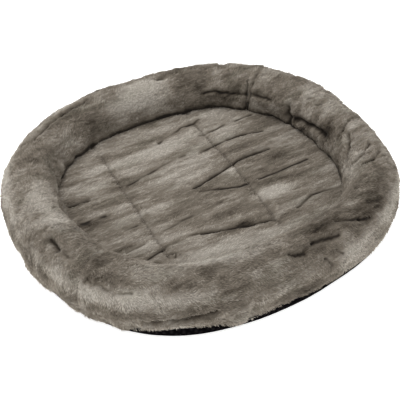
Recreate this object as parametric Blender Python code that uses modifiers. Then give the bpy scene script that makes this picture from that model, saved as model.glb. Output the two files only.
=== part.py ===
"""Pet cushion bed: a stuffed plush bolster ring round a quilted plush pad, on a black base cloth.

Units are metres. +X runs along the bed's length, +Y across it, +Z up. The origin is on the floor,
under the centre of the bed. Every piece follows one outline, a rounded oval, at some distance
inside it, so the pieces stay fitted when a size changes.
"""

from math import asin, cos, pi, radians, sin, sqrt

import bmesh
import bpy
from mathutils import Vector

# Driving sizes
LENGTH = 0.610  # overall, along X
WIDTH = 0.544  # overall, along Y
HEIGHT = 0.108  # floor to the top of the bolster
OUTLINE_POWER = 2.37  # 2 is an ellipse, more is a squarer oval
BOLSTER_WIDTH = 0.086  # outer to inner face of the ring
BOLSTER_FLAT = 0.044  # width of the bolster's flat underside
PLUSH_THICKNESS = 0.008  # knitted backing and pile together
BASE_THICKNESS = 0.0015
BASE_TURN_UP = 0.021  # height of the outer seam above the floor
PAD_HEIGHT = 0.050  # floor to the sleeping surface
PAD_EDGE_ROUND = 0.012  # the pad's rounded upper edge
THREAD_DIAMETER = 0.0012
QUILT_LEFT_X = -0.110  # places of the two stitched rows across the pad
QUILT_RIGHT_X = 0.064
QUILT_END_MARGIN = 0.034  # from a row's end to the pad's edge
QUILT_GROOVE_DEPTH = 0.004
BACK_JOIN_ANGLE = 40.0  # degrees round the outline, from +X towards +Y
FRONT_JOIN_ANGLE = 205.0
GAP = 0.0003  # between pieces that touch

# How finely round shapes are drawn
OUTLINE_STEPS = 72
COVER_STEPS = 13
TURN_UP_STEPS = 4
PAD_SIDE_STEPS = 4
PAD_ROUND_STEPS = 3

# Sizes that follow from the ones above
HALF_BOLSTER = BOLSTER_WIDTH / 2
HALF_FLAT = BOLSTER_FLAT / 2
SEAM_SPACE = THREAD_DIAMETER + 2 * GAP  # room for a thread between two edges
INSIDE_FLOOR = BASE_THICKNESS + GAP  # where pieces stand on the base cloth
PAD_FOOT = INSIDE_FLOOR + 0.8 * PLUSH_THICKNESS  # its plush leans in, so the inner face is lower
# The bolster's section is an oval with its foot cut off by the floor, so that the flat underside
# has the width given above: the oval's centre height C and half height R solve
# C + R = HEIGHT and (HALF_FLAT / HALF_BOLSTER)^2 + (C / R)^2 = 1.
FOOT_RATIO = sqrt(1 - (HALF_FLAT / HALF_BOLSTER) ** 2)
HALF_RISE = HEIGHT / (1 + FOOT_RATIO)
CENTRE_RISE = HEIGHT - HALF_RISE

PLUSH_COLOUR = (0.181, 0.159, 0.130)
BASE_COLOUR = (0.010, 0.010, 0.011)
FILLING_COLOUR = (0.80, 0.80, 0.78)
THREAD_COLOUR = (0.120, 0.105, 0.085)
BLACK_THREAD_COLOUR = (0.012, 0.012, 0.012)


def clear_scene():
    for obj in list(bpy.data.objects):
        bpy.data.objects.remove(obj, do_unlink=True)


def new_collection(name):
    collection = bpy.data.collections.new(name)
    bpy.context.scene.collection.children.link(collection)
    return collection


def make_material(name, colour, roughness):
    material = bpy.data.materials.new(name)
    material.use_nodes = True
    shader = material.node_tree.nodes["Principled BSDF"]
    shader.inputs["Base Color"].default_value = (*colour, 1.0)
    shader.inputs["Roughness"].default_value = roughness
    shader.inputs["Metallic"].default_value = 0.0
    return material


# ---- The outline and the bolster's section ----


def outline_point(angle):
    """The point of the bed's outer outline in the direction of angle, and its outward normal."""
    half_length, half_width = LENGTH / 2, WIDTH / 2
    along, across = cos(angle), sin(angle)
    size = (abs(along / half_length) ** OUTLINE_POWER + abs(across / half_width) ** OUTLINE_POWER) ** (
        -1 / OUTLINE_POWER
    )
    point = Vector((size * along, size * across))
    slope_power = OUTLINE_POWER - 1
    normal = Vector(
        (
            abs(point.x / half_length) ** slope_power / half_length * (1 if point.x >= 0 else -1),
            abs(point.y / half_width) ** slope_power / half_width * (1 if point.y >= 0 else -1),
        )
    )
    return point, normal.normalized()


def ring_points(inset):
    """The outline drawn this far inside the bed's edge, anticlockwise."""
    points = []
    for step in range(OUTLINE_STEPS):
        point, normal = outline_point(2 * pi * step / OUTLINE_STEPS)
        points.append(point - normal * inset)
    return points


def section_point(angle, depth=0.0):
    """A point of the bolster's section, this deep under its surface: (distance out, height)."""
    return (HALF_BOLSTER - depth) * cos(angle), CENTRE_RISE + (HALF_RISE - depth) * sin(angle)


def section_angle(height):
    """The angle at which the outer side of the section is at this height."""
    return asin((height - CENTRE_RISE) / HALF_RISE)


def arc(start, end, steps, depth=0.0):
    return [section_point(start + (end - start) * step / steps, depth) for step in range(steps + 1)]


# ---- Ways of making a shape ----


def add_object(name, data, material, collection):
    obj = bpy.data.objects.new(name, data)
    obj.data.materials.append(material)
    collection.objects.link(obj)
    return obj


def poly_curve(name, points, closed, dimensions="2D"):
    curve = bpy.data.curves.new(name, "CURVE")
    curve.dimensions = dimensions
    spline = curve.splines.new("POLY")
    spline.points.add(len(points) - 1)
    for target, point in zip(spline.points, points):
        target.co = (*point, 1.0) if len(point) == 3 else (*point, 0.0, 1.0)
    spline.use_cyclic_u = closed
    return curve


def mesh_from_curve(obj):
    """Turns a curve object into a welded mesh object of the same name and place."""
    depsgraph = bpy.context.evaluated_depsgraph_get()
    mesh = bpy.data.meshes.new_from_object(obj.evaluated_get(depsgraph))
    welded = bmesh.new()
    welded.from_mesh(mesh)
    bmesh.ops.remove_doubles(welded, verts=welded.verts, dist=0.00001)
    bmesh.ops.recalc_face_normals(welded, faces=welded.faces)
    welded.to_mesh(mesh)
    welded.free()
    name, place, collection = obj.name, obj.matrix_world.copy(), obj.users_collection[0]
    bpy.data.objects.remove(obj)
    solid = bpy.data.objects.new(name, mesh)
    solid.matrix_world = place
    collection.objects.link(solid)
    return solid


def swept_ring(name, section, material, collection, guides):
    """A closed section carried once round the outline's centre line.

    Along an anticlockwise path a curve's section has its X axis pointing inwards.
    """
    section = [(-out, height) for out, height in section]
    path = poly_curve(name, ring_points(HALF_BOLSTER), closed=True)
    guide = bpy.data.objects.new(name + "_section", poly_curve(name + "_section", section, closed=True))
    guides.objects.link(guide)
    path.bevel_mode = "OBJECT"
    path.bevel_object = guide
    return mesh_from_curve(add_object(name, path, material, collection))


def thread_line(name, points, closed, material, collection):
    curve = poly_curve(name, points, closed, dimensions="3D")
    curve.bevel_depth = THREAD_DIAMETER / 2
    curve.bevel_resolution = 1
    curve.use_fill_caps = True
    return add_object(name, curve, material, collection)


def shell(name, rings, thickness, material, collection):
    """An open bowl or dome of cloth: a filled first ring, more rings outside it, and Solidify.

    The rings are lists of (x, y, z). The cloth's thickness lies under the surface that they draw
    when it is positive, and over it when it is negative.
    """
    mesh = bpy.data.meshes.new(name)
    cloth = bmesh.new()
    loops = [[cloth.verts.new(point) for point in ring] for ring in rings]
    cloth.faces.new(loops[0])
    for inner, outer in zip(loops, loops[1:]):
        for step in range(len(inner)):
            following = (step + 1) % len(inner)
            cloth.faces.new((inner[step], outer[step], outer[following], inner[following]))
    cloth.to_mesh(mesh)
    cloth.free()
    obj = add_object(name, mesh, material, collection)
    solidify = obj.modifiers.new("Cloth thickness", "SOLIDIFY")
    solidify.thickness = abs(thickness)
    solidify.offset = -1.0 if thickness > 0 else 1.0
    solidify.use_even_offset = True
    return obj


def cut(obj, cutter, operation):
    """Cuts obj by a cutter, or keeps only what the cutter holds."""
    boolean = obj.modifiers.new(cutter.name, "BOOLEAN")
    boolean.operation = operation
    boolean.solver = "EXACT"
    boolean.object = cutter


# ---- The pieces ----


def make_base_cloth(material, collection):
    """The black cloth under the bed, flat on the floor and turned up to the outer seam."""
    flat_inset = HALF_BOLSTER - HALF_FLAT
    rings = [[(*point, 0.0) for point in ring_points(flat_inset)]]
    start, end = section_angle(0.0), section_angle(BASE_TURN_UP)
    for out, height in arc(start, end, TURN_UP_STEPS)[1:]:
        rings.append([(*point, height) for point in ring_points(HALF_BOLSTER - out)])
    return shell("base_cloth", rings, -BASE_THICKNESS, material, collection)


def cover_angles():
    """Where the bolster covers start at the outer seam and end at the inner seam."""
    outer_seam = section_angle(BASE_TURN_UP + SEAM_SPACE)
    inner_seam = pi - section_angle(INSIDE_FLOOR + SEAM_SPACE)
    return outer_seam, inner_seam


def join_plane(angle):
    """A join's place on the bolster's centre line, and the direction that it faces outwards."""
    point, normal = outline_point(radians(angle))
    return point - normal * HALF_BOLSTER, normal


def half_cutter(name, first_angle, last_angle, guides):
    """A block over the part of the ring between two joins, less half the room for the thread."""
    first, first_out = join_plane(first_angle)
    last, last_out = join_plane(last_angle)
    far = LENGTH
    first_along = Vector((-first_out.y, first_out.x))
    last_along = Vector((-last_out.y, last_out.x))
    first_shift = first_along * (SEAM_SPACE / 2)
    last_shift = -last_along * (SEAM_SPACE / 2)
    middle_out = join_plane((first_angle + last_angle) / 2)[1]
    corners = [
        first - first_out * HALF_BOLSTER * 1.2 + first_shift,
        first + first_out * far + first_shift,
        first + first_out * far + middle_out * far,
        last + last_out * far + middle_out * far,
        last + last_out * far + last_shift,
        last - last_out * HALF_BOLSTER * 1.2 + last_shift,
    ]
    block = poly_curve(name, corners, closed=True)
    block.fill_mode = "BOTH"
    block.extrude = HEIGHT
    cutter = bpy.data.objects.new(name, block)
    guides.objects.link(cutter)
    cutter = mesh_from_curve(cutter)
    return cutter


def make_bolster_cover(name, first_angle, last_angle, material, collection, guides):
    """One plush panel of the bolster, open along its underside."""
    start, end = cover_angles()
    section = arc(start, end, COVER_STEPS) + arc(end, start, COVER_STEPS, PLUSH_THICKNESS)
    cover = swept_ring(name, section, material, collection, guides)
    cut(cover, half_cutter(name + "_half", first_angle, last_angle, guides), "INTERSECT")
    return cover


def make_bolster_filling(material, collection, guides):
    """The ring of loose fibre that fills the bolster down to the base cloth."""
    start, end = cover_angles()
    crown = arc(start, end, COVER_STEPS, PLUSH_THICKNESS + GAP)
    section = [(HALF_FLAT - BASE_THICKNESS, INSIDE_FLOOR), *crown, (crown[-1][0], INSIDE_FLOOR)]
    return swept_ring("bolster_filling", section, material, collection, guides)


def pad_side():
    """The pad's side, from its foot to its rounded upper edge: (distance out, height)."""
    foot = pi - section_angle(PAD_FOOT)
    shoulder = pi - section_angle(PAD_HEIGHT - PAD_EDGE_ROUND)
    lean = HALF_RISE * (1 - cos((shoulder - foot) / PAD_SIDE_STEPS / 2))  # of a straight step
    side = arc(foot, shoulder, PAD_SIDE_STEPS, -(GAP + lean))
    shoulder_out = side[-1][0]
    for step in range(1, PAD_ROUND_STEPS + 1):
        turn = pi / 2 * step / PAD_ROUND_STEPS
        side.append(
            (
                shoulder_out - PAD_EDGE_ROUND * (1 - cos(turn)),
                PAD_HEIGHT - PAD_EDGE_ROUND + PAD_EDGE_ROUND * sin(turn),
            )
        )
    return side


def pad_rings(depth):
    """The pad's surface from the flat top down to its foot, this deep under the plush."""
    rings = []
    for out, height in reversed(pad_side()):
        inset = HALF_BOLSTER - out + depth
        rings.append([(*point, max(height - depth, INSIDE_FLOOR)) for point in ring_points(inset)])
    return rings


def quilt_row(row_x):
    """Half the length of the stitched row across the pad at this place."""
    pad_half_length = LENGTH / 2 - BOLSTER_WIDTH
    pad_half_width = WIDTH / 2 - BOLSTER_WIDTH
    reach = (1 - abs(row_x / pad_half_length) ** OUTLINE_POWER) ** (1 / OUTLINE_POWER)
    return pad_half_width * reach - QUILT_END_MARGIN


def make_pad_cover(material, collection, guides):
    """The plush top of the pad, open underneath, with a groove along each stitched row."""
    cover = shell("pad_cover", pad_rings(0.0), PLUSH_THICKNESS, material, collection)
    for side, row_x in (("left", QUILT_LEFT_X), ("right", QUILT_RIGHT_X)):
        groove_mesh = bpy.data.meshes.new("quilt_groove_" + side)
        box = bmesh.new()
        bmesh.ops.create_cube(box, size=1.0)
        bmesh.ops.scale(
            box,
            vec=(SEAM_SPACE, 2 * (quilt_row(row_x) + SEAM_SPACE), 2 * QUILT_GROOVE_DEPTH),
            verts=box.verts,
        )
        box.to_mesh(groove_mesh)
        box.free()
        groove = bpy.data.objects.new("quilt_groove_" + side, groove_mesh)
        groove.location = (row_x, 0.0, PAD_HEIGHT)
        guides.objects.link(groove)
        cut(cover, groove, "DIFFERENCE")
    return cover


def make_pad_wadding(material, collection):
    """The wadding under the pad's plush, standing on the base cloth."""
    rings = pad_rings(PLUSH_THICKNESS + GAP)
    mesh = bpy.data.meshes.new("pad_wadding")
    pad = bmesh.new()
    standing = [ring for ring in rings if ring[0][2] > INSIDE_FLOOR]
    standing.append([(x, y, INSIDE_FLOOR) for x, y, _ in standing[-1]])
    loops = [[pad.verts.new(point) for point in ring] for ring in standing]
    pad.faces.new(loops[0])
    pad.faces.new(reversed(loops[-1]))
    for upper, lower in zip(loops, loops[1:]):
        for step in range(OUTLINE_STEPS):
            following = (step + 1) % OUTLINE_STEPS
            pad.faces.new((upper[step], lower[step], lower[following], upper[following]))
    pad.to_mesh(mesh)
    pad.free()
    return add_object("pad_wadding", mesh, material, collection)


def make_seam_threads(plush_thread, black_thread, collection):
    """The two seams that run all the way round."""
    middle = section_angle(BASE_TURN_UP + SEAM_SPACE / 2)
    out, height = section_point(middle, SEAM_SPACE / 2)
    points = [(*point, height) for point in ring_points(HALF_BOLSTER - out)]
    thread_line("outer_seam_thread", points, True, black_thread, collection)
    out, _ = section_point(pi - section_angle(INSIDE_FLOOR))
    height = INSIDE_FLOOR + THREAD_DIAMETER / 2
    points = [(*point, height) for point in ring_points(HALF_BOLSTER - out)]
    thread_line("inner_seam_thread", points, True, plush_thread, collection)


def make_quilt_threads(material, collection):
    height = PAD_HEIGHT - QUILT_GROOVE_DEPTH + GAP + THREAD_DIAMETER / 2
    for side, row_x in (("left", QUILT_LEFT_X), ("right", QUILT_RIGHT_X)):
        reach = quilt_row(row_x)
        points = [(row_x, -reach, height), (row_x, reach, height)]
        thread_line("quilt_thread_" + side, points, False, material, collection)


def make_join_threads(material, collection):
    """The stitching of the two joins, half way through the plush."""
    start, end = cover_angles()
    for side, angle in (("back", BACK_JOIN_ANGLE), ("front", FRONT_JOIN_ANGLE)):
        place, outwards = join_plane(angle)
        points = []
        for out, height in arc(start, end, COVER_STEPS, PLUSH_THICKNESS / 2):
            points.append((*(place + outwards * out), height))
        thread_line("join_thread_" + side, points, False, material, collection)


def build():
    clear_scene()
    bed = new_collection("pet_cushion_bed")
    guides = new_collection("cutters_and_guides")
    guides.hide_render = True
    plush = make_material("taupe_plush", PLUSH_COLOUR, 0.95)
    base = make_material("black_base_cloth", BASE_COLOUR, 0.85)
    filling = make_material("white_fibre", FILLING_COLOUR, 1.0)
    thread = make_material("taupe_thread", THREAD_COLOUR, 0.7)
    black_thread = make_material("black_thread", BLACK_THREAD_COLOUR, 0.7)

    make_base_cloth(base, bed)
    make_bolster_filling(filling, bed, guides)
    make_bolster_cover("bolster_cover_left", BACK_JOIN_ANGLE, FRONT_JOIN_ANGLE, plush, bed, guides)
    make_bolster_cover("bolster_cover_right", FRONT_JOIN_ANGLE, BACK_JOIN_ANGLE + 360.0, plush, bed, guides)
    make_pad_wadding(filling, bed)
    make_pad_cover(plush, bed, guides)
    make_seam_threads(thread, black_thread, bed)
    make_quilt_threads(thread, bed)
    make_join_threads(thread, bed)
    for guide in guides.objects:
        guide.hide_render = True
        guide.display_type = "WIRE"


build()
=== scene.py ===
from math import cos, pi, radians, sin, sqrt

import bpy
import numpy as np
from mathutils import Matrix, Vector


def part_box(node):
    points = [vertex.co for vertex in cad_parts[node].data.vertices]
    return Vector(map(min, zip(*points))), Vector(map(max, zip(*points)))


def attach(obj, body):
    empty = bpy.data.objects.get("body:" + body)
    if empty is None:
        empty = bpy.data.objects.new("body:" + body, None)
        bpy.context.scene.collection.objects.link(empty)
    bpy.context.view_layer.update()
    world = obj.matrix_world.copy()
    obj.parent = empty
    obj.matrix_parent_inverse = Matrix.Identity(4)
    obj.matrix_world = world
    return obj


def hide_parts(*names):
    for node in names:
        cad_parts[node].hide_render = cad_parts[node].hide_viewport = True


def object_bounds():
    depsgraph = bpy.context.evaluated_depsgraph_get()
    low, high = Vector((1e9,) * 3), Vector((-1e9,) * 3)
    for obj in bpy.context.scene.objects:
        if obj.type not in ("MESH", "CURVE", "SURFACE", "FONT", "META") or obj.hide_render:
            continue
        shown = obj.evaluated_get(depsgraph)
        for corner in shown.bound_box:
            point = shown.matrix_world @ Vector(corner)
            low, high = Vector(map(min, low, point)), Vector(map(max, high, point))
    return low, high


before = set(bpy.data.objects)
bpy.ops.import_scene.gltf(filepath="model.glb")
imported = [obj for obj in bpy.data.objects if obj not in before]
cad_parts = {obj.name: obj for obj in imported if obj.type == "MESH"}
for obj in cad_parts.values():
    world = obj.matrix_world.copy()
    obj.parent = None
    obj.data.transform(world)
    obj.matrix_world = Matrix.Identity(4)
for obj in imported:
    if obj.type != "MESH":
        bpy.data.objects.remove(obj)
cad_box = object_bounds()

# ---- Camera ----
# A long lens, looking down over the front left corner of the bed.

VIEW_TURN = radians(-31.1)  # round the bed, from straight in front
VIEW_TILT = radians(40.6)  # down from level
VIEW_DISTANCE = 1.586
VIEW_AIM = Vector((-0.0009, 0.0, 0.0187))
LENS_MM = 88.7

eye_direction = Vector(
    (sin(VIEW_TURN) * cos(VIEW_TILT), -cos(VIEW_TURN) * cos(VIEW_TILT), sin(VIEW_TILT))
)
camera_data = bpy.data.cameras.new("view")
camera_data.lens = LENS_MM
camera_data.clip_end = 20.0
camera = bpy.data.objects.new("view", camera_data)
camera.location = eye_direction * VIEW_DISTANCE
camera.rotation_euler = (camera.location - VIEW_AIM).to_track_quat("Z", "Y").to_euler()
bpy.context.scene.collection.objects.link(camera)
bpy.context.scene.camera = camera

# ---- Studio ----
# A white table, lit a little from below, under large soft lights: one on each side, one overhead.

TABLE_WHITE = "#f4f4f3"
TABLE_GLOW = 0.80
TABLE_HALF_SIZE = 20.0  # large enough that its edge is far off in the low views
TABLE_GAP = 0.0005  # under the bed
ROOM_LIGHT = 0.75


def linear(hex_colour):
    """An sRGB hex colour as linear red, green, blue and alpha."""
    parts = [int(hex_colour[i : i + 2], 16) / 255 for i in (1, 3, 5)]
    return (*(p / 12.92 if p <= 0.04045 else ((p + 0.055) / 1.055) ** 2.4 for p in parts), 1.0)


def feed(socket, source):
    """Sets an input of a shader node to a value, or links it to the output of another node."""
    if isinstance(source, bpy.types.NodeSocket):
        socket.id_data.links.new(source, socket)
    else:
        socket.default_value = source


def new_material(name):
    material = bpy.data.materials.new(name)
    material.use_nodes = True
    return material


def surface_look(material, **looks):
    """Sets the look of a material's surface: each a value, or an output of another of its nodes."""
    for name, source in looks.items():
        feed(material.node_tree.nodes["Principled BSDF"].inputs[name.replace("_", " ")], source)


def soft_light(name, place, size, power):
    """A round white softbox that faces the bed."""
    data = bpy.data.lights.new(name, "AREA")
    data.shape = "DISK"
    data.size = size
    data.energy = power
    lamp = bpy.data.objects.new(name, data)
    lamp.location = place
    lamp.rotation_euler = Vector(place).to_track_quat("Z", "Y").to_euler()
    bpy.context.scene.collection.objects.link(lamp)


# The table reads as a plain white ground, with the bed's shadow only just there.
acrylic = new_material("white_lit_acrylic")
surface_look(
    acrylic,
    Base_Color=linear(TABLE_WHITE),
    Roughness=0.9,
    Emission_Color=linear(TABLE_WHITE),
    Emission_Strength=TABLE_GLOW,
)
floor_mesh = bpy.data.meshes.new("floor")
far = TABLE_HALF_SIZE
floor_corners = [(-far, -far, 0), (far, -far, 0), (far, far, 0), (-far, far, 0)]
floor_mesh.from_pydata(floor_corners, [], [(0, 1, 2, 3)])
floor = bpy.data.objects.new("floor", floor_mesh)
floor.location.z = -TABLE_GAP
floor_mesh.materials.append(acrylic)
bpy.context.scene.collection.objects.link(floor)

world = bpy.data.worlds.new("white_studio")
world.use_nodes = True
room = world.node_tree.nodes["Background"].inputs
room["Color"].default_value = (1.0, 1.0, 1.0, 1.0)
room["Strength"].default_value = ROOM_LIGHT
bpy.context.scene.world = world
bpy.context.scene.view_settings.view_transform = "Standard"
soft_light("overhead_softbox", (-0.3, 0.5, 2.0), 1.4, 26.0)
soft_light("left_softbox", (-1.8, -0.9, 1.0), 1.0, 10.0)
soft_light("right_softbox", (1.6, -1.3, 0.9), 1.0, 7.0)

# ---- Plush material ----
# Minky plush, a knitted polyester with a deep soft pile, dyed a warm grey in long pale and dark
# streaks like chinchilla. It covers the bolster and the pad, and is sewn along its edges.

# The first and darkest of these colours is painted shade: the dark deep in the pile, in its folds
# and where it parts.
PLUSH_PAINTED_SHADE, PLUSH_DARK, PLUSH_MIDDLE, PLUSH_PALE = "#1b1611", "#51493f", "#867d71", "#beb7ac"
PLUSH_FROST = "#a3a7a5"  # a few streaks are dyed cooler
# Noise in the dye and the pile: its size along and across the bed in metres, detail and weight.
DYED_STREAKS = (0.085, 0.016, 3.0, 0.80)  # a centimetre or two wide
GATHERED_LOCKS = (0.020, 0.005, 2.0, 0.56)  # pile that has clumped together
SINGLE_FIBRES = (0.004, 0.0012, 1.0, 0.20)  # drawn coarser than they are
FROST_STREAKS = (0.080, 0.020, 0.0)


def node(material, kind, feeds=(), **settings):
    """Adds a shader node. Settings are properties and inputs by name, feeds are inputs by place."""
    made = material.node_tree.nodes.new(kind)
    for name, value in settings.items():
        if name in made.bl_rna.properties:
            setattr(made, name, value)
        else:
            feed(made.inputs[name.replace("_", " ")], value)
    for place, value in feeds:
        feed(made.inputs[place], value)
    return made


def plush_material():
    """Streaked and matt, with painted shade down in the pile, and a faint sheen where it is seen
    edge on.
    """
    made = new_material("streaked_minky_plush")
    places = node(made, "ShaderNodeTexCoord").outputs["Object"]
    tone = node(made, "ShaderNodeAttribute", attribute_name="tone").outputs["Fac"]
    root = node(made, "ShaderNodeAttribute", attribute_name="root").outputs["Fac"]

    def streaks(along, across, detail):
        """Noise drawn out along the bed, in metres."""
        stretch = (1 / along, 1 / across, 1 / across)
        place = node(made, "ShaderNodeMapping", Vector=places, Scale=stretch).outputs[0]
        look = {"Vector": place, "Scale": 1.0, "Detail": detail, "Roughness": 0.6}
        return node(made, "ShaderNodeTexNoise", **look).outputs[0]

    for *size_and_detail, weight in (DYED_STREAKS, GATHERED_LOCKS, SINGLE_FIBRES):
        noise = streaks(*size_and_detail)
        centred = node(made, "ShaderNodeMath", [(0, noise), (1, 0.5)], operation="SUBTRACT")
        added = [(0, centred.outputs[0]), (1, weight), (2, tone)]
        tone = node(made, "ShaderNodeMath", added, operation="MULTIPLY_ADD").outputs[0]
    colours = node(made, "ShaderNodeValToRGB", Fac=tone)
    ramp = colours.color_ramp
    ramp.elements[0].position = 0.0
    ramp.elements[0].color = linear(PLUSH_PAINTED_SHADE)
    ramp.elements.new(0.18).color = linear(PLUSH_DARK)
    ramp.elements[-1].position = 0.90
    ramp.elements[-1].color = linear(PLUSH_PALE)
    ramp.elements.new(0.50).color = linear(PLUSH_MIDDLE)
    frost_share = node(
        made,
        "ShaderNodeMapRange",
        Value=streaks(*FROST_STREAKS),
        From_Min=0.55,
        From_Max=0.75,
        To_Max=0.5,
    )
    frosted = node(
        made,
        "ShaderNodeMix",
        [(0, frost_share.outputs[0]), (6, colours.outputs[0]), (7, linear(PLUSH_FROST))],
        data_type="RGBA",
        blend_type="SOFT_LIGHT",
    )
    # Painted shade is mixed in by the root attribute, darkest deep in the pile.
    shaded = node(
        made,
        "ShaderNodeMix",
        [(0, root), (6, frosted.outputs[2]), (7, linear(PLUSH_PAINTED_SHADE))],
        data_type="RGBA",
    )
    # The last noise is that of the single fibres, which also stand out a little.
    relief = node(made, "ShaderNodeBump", Height=noise, Strength=0.5, Distance=0.0006)
    surface_look(
        made,
        Base_Color=shaded.outputs[2],
        Roughness=0.9,
        Specular_IOR_Level=0.15,
        Sheen_Weight=0.15,
        Sheen_Roughness=0.5,
        Sheen_Tint=linear(PLUSH_PALE),
        Normal=relief.outputs[0],
    )
    return made


plush = plush_material()

# ---- Pile ----
# The pile is 8 mm polyester. It stands in flat tapered locks that lean with the nap. A lock here is
# a closed three-sided blade, wider than a real one so that there are fewer of them.

LOCK_LENGTH = 0.0075
LOCK_WIDTH = 0.0013
LOCK_LIFT = radians(34)
LOCK_ROOTING = 0.0012  # how far its root is sunk into the cloth
LOCKS_PER_PIECE = 18000


def unit(vectors):
    return vectors / np.maximum(np.linalg.norm(vectors, axis=-1, keepdims=True), 1e-12)


def new_piece(name, points, faces, material, node_names):
    """A smooth piece that rides on the bed's one body and stands for these nodes of the model."""
    mesh = bpy.data.meshes.new(name)
    corners = faces.shape[1]
    mesh.vertices.add(len(points))
    mesh.vertices.foreach_set("co", points.astype(np.float32).reshape(-1))
    mesh.loops.add(faces.size)
    mesh.loops.foreach_set("vertex_index", faces.astype(np.int32).reshape(-1))
    mesh.polygons.add(len(faces))
    mesh.polygons.foreach_set("loop_start", np.arange(0, faces.size, corners, dtype=np.int32))
    mesh.update(calc_edges=True)
    mesh.shade_smooth()
    mesh.materials.append(material)
    piece = bpy.data.objects.new(name, mesh)
    bpy.context.scene.collection.objects.link(piece)
    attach(piece, "root")
    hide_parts(*node_names)
    return piece


def paint(piece, tone, root, map_places):
    """Gives a piece what the plush material reads: its tone, and how much painted shade it takes
    from lying deep in the pile.
    """
    mesh = piece.data
    loop_points = np.empty(len(mesh.loops), np.int32)
    mesh.loops.foreach_get("vertex_index", loop_points)
    layer = mesh.uv_layers.new(name="OFBake")
    layer.data.foreach_set("uv", map_places[loop_points].astype(np.float32).reshape(-1))
    for name, values in (("tone", tone), ("root", root)):
        layer = mesh.attributes.new(name, "FLOAT", "POINT")
        layer.data.foreach_set("value", values.astype(np.float32))


def pile(name, surface, count, seed, node_name):
    """Scatters locks over a grid of points, in pieces of a size that is easy to handle.

    The surface is a dictionary of grids: points, normals, nap (which way the pile leans), map,
    tone, cover (how thick the pile is), lift and trim (how far its locks rise, and how long)."""
    rng = np.random.default_rng(seed)
    points = surface["points"]
    steps = [np.diff(points, axis=0)[:, :-1], np.diff(points, axis=1)[:-1]]
    weights = np.linalg.norm(np.cross(*steps), axis=-1) * surface["cover"][:-1, :-1]
    chosen = rng.choice(weights.size, count, p=(weights / weights.sum()).reshape(-1))
    row, column = np.unravel_index(chosen, weights.shape)
    down, along = rng.random((2, count, 1))

    def at(grid):
        grid = grid if grid.ndim == 3 else grid[..., None]
        near = grid[row, column] * (1 - along) + grid[row, column + 1] * along
        far = grid[row + 1, column] * (1 - along) + grid[row + 1, column + 1] * along
        return near * (1 - down) + far * down

    place, normal, nap = at(points), unit(at(surface["normals"])), unit(at(surface["nap"]))
    tone, maps = at(surface["tone"]), at(surface["map"])
    # No two locks lie, rise or are trimmed quite alike.
    side = unit(np.cross(normal, nap))
    nap = unit(nap + side * rng.normal(0, 0.30, (count, 1)))
    side = unit(np.cross(normal, nap))
    length = LOCK_LENGTH * at(surface["trim"]) * rng.uniform(0.7, 1.2, (count, 1))
    width = LOCK_WIDTH * rng.uniform(0.7, 1.35, (count, 1))
    lift = at(surface["lift"]) * LOCK_LIFT * rng.uniform(0.6, 1.4, (count, 1))
    root = place - normal * LOCK_ROOTING
    middle = root + length * 0.55 * (nap * np.cos(lift) + normal * np.sin(lift))
    tip = middle + length * 0.45 * (nap * np.cos(lift * 0.35) + normal * np.sin(lift * 0.35))
    # A blade has three corners at its root, three in its middle and one at its tip.
    corners, corner_normals = [], []
    for centre, ring_width in ((root, width), (middle, width * 0.85)):
        for turn in (90, 210, 330):
            out = side * cos(radians(turn)) + normal * sin(radians(turn)) * 0.6
            corners.append(centre + out * ring_width / 2)
            corner_normals.append(unit(normal + out * 0.55))
    corners.append(tip)
    corner_normals.append(unit(normal + nap * 0.25))
    blade = np.stack(corners, 1)
    blade_normals = np.stack(corner_normals, 1)
    sides = [(k, (k + 1) % 3, 3 + (k + 1) % 3) for k in range(3)]
    sides += [(k, 3 + (k + 1) % 3, 3 + k) for k in range(3)]
    sides += [(3 + k, 3 + (k + 1) % 3, 6) for k in range(3)] + [(0, 2, 1)]
    shade = np.array([0.9] * 3 + [0.15] * 3 + [0.0])  # painted shade, dark at the root
    tone = tone + rng.normal(0, 0.05, (count, 1))
    for number, start in enumerate(range(0, count, LOCKS_PER_PIECE), 1):
        part = slice(start, min(start + LOCKS_PER_PIECE, count))
        many = part.stop - part.start
        faces = (np.arange(many)[:, None, None] * 7 + np.array(sides)[None]).reshape(-1, 3)
        piece = new_piece(
            f"{name}_{number}", blade[part].reshape(-1, 3), faces, plush, [node_name]
        )
        piece.data.normals_split_custom_set_from_vertices(blade_normals[part].reshape(-1, 3))
        paint(
            piece,
            np.repeat(tone[part], 7, 1).reshape(-1),
            np.tile(shade, many),
            np.repeat(maps[part][:, None], 7, 1).reshape(-1, 2),
        )


# ---- Bolster covers ----
# Two panels of the plush, sewn end to end round the bed and stuffed hard. The filling pushes the
# cloth out between its seams, and the pile parts where the cloth folds.

PILE_DEPTH = 0.003  # from the drawn surface of the plush to the tips of the pile
CLOTH_DEPTH = PILE_DEPTH + 0.002  # to the cloth before it swells
OUTLINE_POWER = 2.37  # 2 would make the bed an ellipse, and more squares it off
BOLSTER_WIDTH = 0.086
BOLSTER_FLAT = 0.044  # the width of its flat foot
BOLSTER_LENGTH = 1.62  # all the way round
RING_RADIUS, SECTION_RADIUS = 0.26, 0.048  # rounded, to turn degrees into metres
HALF_LENGTH = (cad_box[1][0] - cad_box[0][0]) / 2
HALF_WIDTH = (cad_box[1][1] - cad_box[0][1]) / 2
HEIGHT = cad_box[1][2]
PAD_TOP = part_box("pad_cover")[1].z
# Where the stuffing stands out from the even outline, or falls short of it: the direction and
# spread in degrees, and how far in metres.
UNEVEN_STUFFING = (
    (0, 16, -0.0045),
    (66, 14, 0.0030),
    (82, 14, -0.0050),
    (142, 12, -0.0035),
    (166, 12, -0.0025),
    (190, 12, -0.0020),
    (208, 10, -0.0040),
    (238, 14, 0.0050),
    (262, 14, 0.0055),
    (276, 8, 0.0020),
    (300, 8, 0.0025),
    (318, 12, 0.0010),
    (343, 10, -0.0045),
)
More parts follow.
